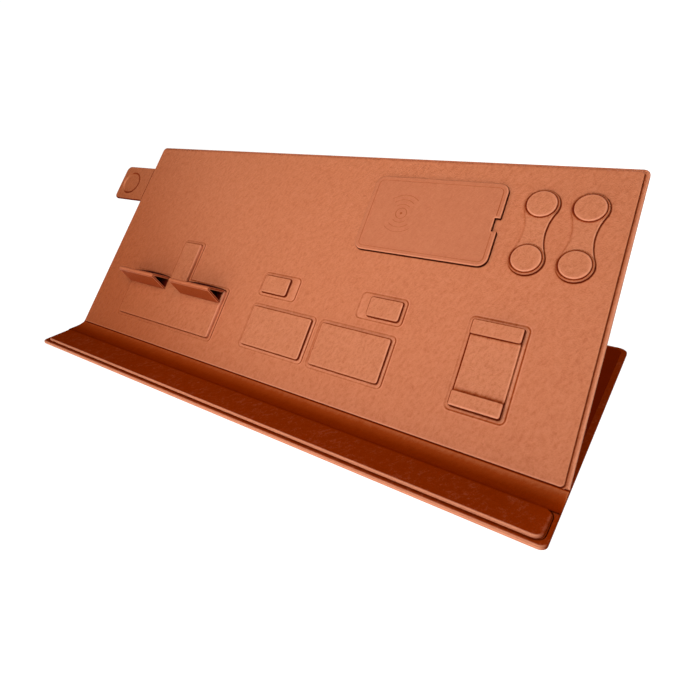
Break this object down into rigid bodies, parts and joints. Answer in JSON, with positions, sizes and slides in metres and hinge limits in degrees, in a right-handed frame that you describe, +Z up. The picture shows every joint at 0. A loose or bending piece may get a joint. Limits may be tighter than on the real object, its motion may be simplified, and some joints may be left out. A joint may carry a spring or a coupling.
{
  "type": "desk mat organizer",
  "caption": "Leather desk mat: a flat base with a padded lip, and a hinged panel that folds open and carries a charging plate, cable ties, fold-out ledges, pads and a clip.",
  "frame": {"origin": "on the table under the fold line, at the middle of the mat's width", "axes": "+X along the fold to the user's right, +Y to the rear, +Z up from the table"},
  "size_m": [0.771, 0.3865, 0.244],
  "materials": {
    "mat_leather": "fine pebbled leather, satin",
    "pad_leather": "fine pebbled leather, satin",
    "lining": "smooth brushed lining",
    "underlay": "matt non-slip underlay",
    "board": "stiff pressed board",
    "foam": "soft foam",
    "steel": "bright rolled steel",
    "magnet": "plated magnet",
    "charger_plastic": "matt moulded plastic",
    "copper": "enamelled wire",
    "ferrite": "matt ferrite",
    "circuit_board": "solder mask"
  },
  "bodies": {
    "base": {"base_underlay": "underlay", "base_board": "board", "base_cover": "mat_leather", "document_liner": "lining", "lip_foam": "foam", "lip_pad": "mat_leather", "fold_strip": "mat_leather"},
    "panel": {"panel_cover": "mat_leather", "back_board": "board", "panel_lining": "lining", "tab_pocket": "lining", "face_board": "board", "face_cover": "mat_leather", "keeper_plates": "steel", "charger_tray": "charger_plastic", "charger_coil": "copper", "ferrite_sheet": "ferrite", "charger_circuit_board": "circuit_board", "usb_c_socket": "steel", "charger_face": "pad_leather", "t_pad": "pad_leather", "t_pad_plate": "steel"},
    "side_tab": {"side_tab": "pad_leather", "tab_disc": "steel"},
    "bar_clip": {"clip_plate": "pad_leather", "clip_upper_bar": "pad_leather", "clip_lower_bar": "pad_leather", "clip_magnets": "magnet"},
    "ledge_left_top": {"ledge_left_top_board": "pad_leather"},
    "ledge_left_front": {"ledge_left_front_board": "pad_leather", "ledge_left_crease": "pad_leather", "ledge_left_magnet": "magnet"},
    "block_left": {"block_left": "pad_leather", "block_left_magnet": "magnet"},
    "card_pad_left": {"card_pad_left": "pad_leather", "card_pad_left_magnets": "magnet"},
    "tie_left_lower": {"tie_left_lower_end": "pad_leather", "tie_left_lower_magnet": "magnet", "tie_left_waist": "pad_leather"},
    "tie_left_upper": {"tie_left_upper_end": "pad_leather", "tie_left_upper_magnet": "magnet"},
    "ledge_right_top": {"ledge_right_top_board": "pad_leather"},
    "ledge_right_front": {"ledge_right_front_board": "pad_leather", "ledge_right_crease": "pad_leather", "ledge_right_magnet": "magnet"},
    "block_right": {"block_right": "pad_leather", "block_right_magnet": "magnet"},
    "card_pad_right": {"card_pad_right": "pad_leather", "card_pad_right_magnets": "magnet"},
    "tie_right_lower": {"tie_right_lower_end": "pad_leather", "tie_right_lower_magnet": "magnet", "tie_right_waist": "pad_leather"},
    "tie_right_upper": {"tie_right_upper_end": "pad_leather", "tie_right_upper_magnet": "magnet"}
  },
  "joints": [
    {"name": "panel_fold", "type": "hinge", "parent": "base", "child": "panel", "pos_m": [0, -0.00104, 0.0063], "axis": [1, 0, 0], "range_deg": [-48.4, 40.8], "deforming": ["fold_strip"]},
    {"name": "side_tab_slide", "type": "slide", "parent": "panel", "child": "side_tab", "axis": [1, 0, 0], "range_m": [0, 0.062]},
    {"name": "bar_clip_lift", "type": "slide", "parent": "panel", "child": "bar_clip", "axis": [0, -0.757, 0.6534], "range_m": [0, 0.03]},
    {"name": "ledge_left_root", "type": "hinge", "parent": "panel", "child": "ledge_left_top", "pos_m": [-0.24027, 0.05633, 0.08332], "axis": [1, 0, 0], "range_deg": [0, 76.54]},
    {"name": "ledge_left_tip", "type": "hinge", "parent": "ledge_left_top", "child": "ledge_left_front", "pos_m": [-0.24027, 0.03057, 0.09664], "axis": [1, 0, 0], "range_deg": [-153.08, 0], "deforming": ["ledge_left_crease"]},
    {"name": "block_left_slide", "type": "slide", "parent": "panel", "child": "block_left", "axis": [1, 0, 0], "range_m": [0, 0.009]},
    {"name": "card_pad_left_lift", "type": "slide", "parent": "panel", "child": "card_pad_left", "axis": [0, -0.757, 0.6534], "range_m": [0, 0.03]},
    {"name": "tie_left_lift", "type": "slide", "parent": "panel", "child": "tie_left_lower", "axis": [0, -0.757, 0.6534], "range_m": [0, 0.03]},
    {"name": "tie_left_fold", "type": "hinge", "parent": "tie_left_lower", "child": "tie_left_upper", "pos_m": [0.2629, 0.14588, 0.18806], "axis": [1, 0, 0], "range_deg": [0, 180], "deforming": ["tie_left_waist"]},
    {"name": "ledge_right_root", "type": "hinge", "parent": "panel", "child": "ledge_right_top", "pos_m": [-0.13203, 0.05633, 0.08332], "axis": [1, 0, 0], "range_deg": [0, 76.54]},
    {"name": "ledge_right_tip", "type": "hinge", "parent": "ledge_right_top", "child": "ledge_right_front", "pos_m": [-0.13203, 0.03057, 0.09664], "axis": [1, 0, 0], "range_deg": [-153.08, 0], "deforming": ["ledge_right_crease"]},
    {"name": "block_right_slide", "type": "slide", "parent": "panel", "child": "block_right", "axis": [-1, 0, 0], "range_m": [0, 0.009]},
    {"name": "card_pad_right_lift", "type": "slide", "parent": "panel", "child": "card_pad_right", "axis": [0, -0.757, 0.6534], "range_m": [0, 0.03]},
    {"name": "tie_right_lift", "type": "slide", "parent": "panel", "child": "tie_right_lower", "axis": [0, -0.757, 0.6534], "range_m": [0, 0.03]},
    {"name": "tie_right_fold", "type": "hinge", "parent": "tie_right_lower", "child": "tie_right_upper", "pos_m": [0.308, 0.14588, 0.18806], "axis": [1, 0, 0], "range_deg": [0, 180], "deforming": ["tie_right_waist"]}
  ],
  "couplings": [
    {"joint": "ledge_left_tip", "follows": "ledge_left_root", "ratio": -2},
    {"joint": "ledge_right_tip", "follows": "ledge_right_root", "ratio": -2}
  ]
}
